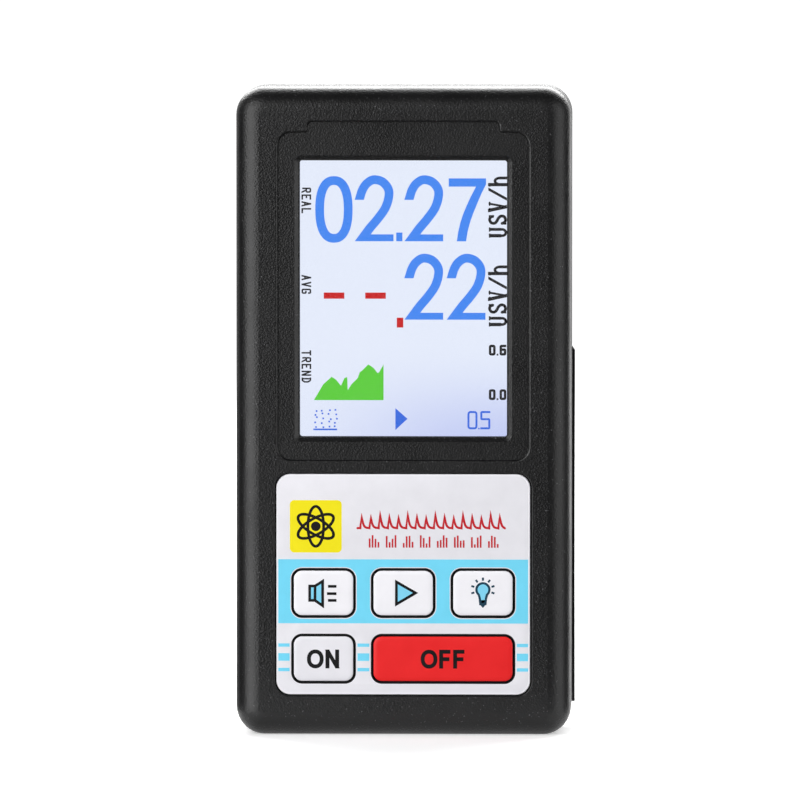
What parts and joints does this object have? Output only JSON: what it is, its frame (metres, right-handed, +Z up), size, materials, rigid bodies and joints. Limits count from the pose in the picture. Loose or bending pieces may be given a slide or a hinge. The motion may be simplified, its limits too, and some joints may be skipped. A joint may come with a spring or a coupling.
{
  "type": "geiger counter",
  "caption": "Pocket geiger counter: black two-part case, upright colour display behind a window, printed key plate with press keys, tilt-out battery door at the back.",
  "frame": {"origin": "middle of the lower end, on the surface that the counter stands on", "axes": "+Z up along the case, front face with the display towards -Y, +X to the right seen from the front"},
  "size_m": [0.0604, 0.025, 0.115],
  "materials": {
    "case": "fine moulded grain, black",
    "window": "clear polished acrylic",
    "foam": "closed-cell foam",
    "white_plastic": "white moulded",
    "display": "lit display, glossy",
    "ribbon": "amber polyimide film",
    "plate": "printed, satin",
    "board": "green solder mask",
    "screw_steel": "zinc plated",
    "chip_black": "moulded epoxy",
    "switch_black": "moulded, with tinned legs",
    "can_metal": "drawn can",
    "film_red": "dipped epoxy",
    "ferrite": "sintered ferrite",
    "copper": "enamelled copper wire",
    "tube_metal": "drawn metal tube",
    "tin": "tinned",
    "cell": "printed sleeve over a steel can",
    "spring_steel": "nickel-plated wire",
    "key_white": "satin white",
    "key_red": "satin red"
  },
  "bodies": {
    "case": {"front_shell": "case", "rear_shell": "case", "display_window": "window", "display_gasket": "foam", "backlight_tray": "white_plastic", "lcd_glass": "display", "lcd_pad": "foam", "lcd_flex": "ribbon", "flex_connector": "white_plastic", "key_plate": "plate", "main_board": "board", "case_screws": "screw_steel", "board_screws": "screw_steel", "controller_chip": "chip_black", "crystal": "can_metal", "sounder": "chip_black", "reservoir_capacitor": "can_metal", "high_voltage_capacitors": "film_red", "coil_core": "ferrite", "coil_winding": "copper", "tube_body": "tube_metal", "tube_anode_cap": "tin", "tube_cathode_cap": "tin", "tube_clip_lower": "tin", "tube_clip_upper": "tin", "cell_1": "cell", "cell_2": "cell", "cell_3": "cell", "contact_spring_1": "spring_steel", "contact_spring_2": "spring_steel", "contact_spring_3": "spring_steel", "lower_contacts": "tin", "upper_contacts": "tin", "sound_switch": "switch_black", "start_switch": "switch_black", "light_switch": "switch_black", "on_switch": "switch_black", "off_switch": "switch_black"},
    "sound_button": {"sound_key": "key_white", "sound_plunger": "chip_black"},
    "start_button": {"start_key": "key_white", "start_plunger": "chip_black"},
    "light_button": {"light_key": "key_white", "light_plunger": "chip_black"},
    "on_button": {"on_key": "key_white", "on_plunger": "chip_black"},
    "off_button": {"off_key": "key_red", "off_plunger": "chip_black"},
    "battery_door": {"battery_door": "case"}
  },
  "joints": [
    {"name": "sound_press", "type": "slide", "parent": "case", "child": "sound_button", "axis": [0, 1, 0], "range_m": [0, 0.0003], "stiffness_N_per_m": 3000},
    {"name": "start_press", "type": "slide", "parent": "case", "child": "start_button", "axis": [0, 1, 0], "range_m": [0, 0.0003], "stiffness_N_per_m": 3000},
    {"name": "light_press", "type": "slide", "parent": "case", "child": "light_button", "axis": [0, 1, 0], "range_m": [0, 0.0003], "stiffness_N_per_m": 3000},
    {"name": "on_press", "type": "slide", "parent": "case", "child": "on_button", "axis": [0, 1, 0], "range_m": [0, 0.0003], "stiffness_N_per_m": 3000},
    {"name": "off_press", "type": "slide", "parent": "case", "child": "off_button", "axis": [0, 1, 0], "range_m": [0, 0.0003], "stiffness_N_per_m": 3000},
    {"name": "door_tilt", "type": "hinge", "parent": "case", "child": "battery_door", "pos_m": [0, 0.0125, 0.00465], "axis": [-1, 0, 0], "range_deg": [0, 75]}
  ]
}
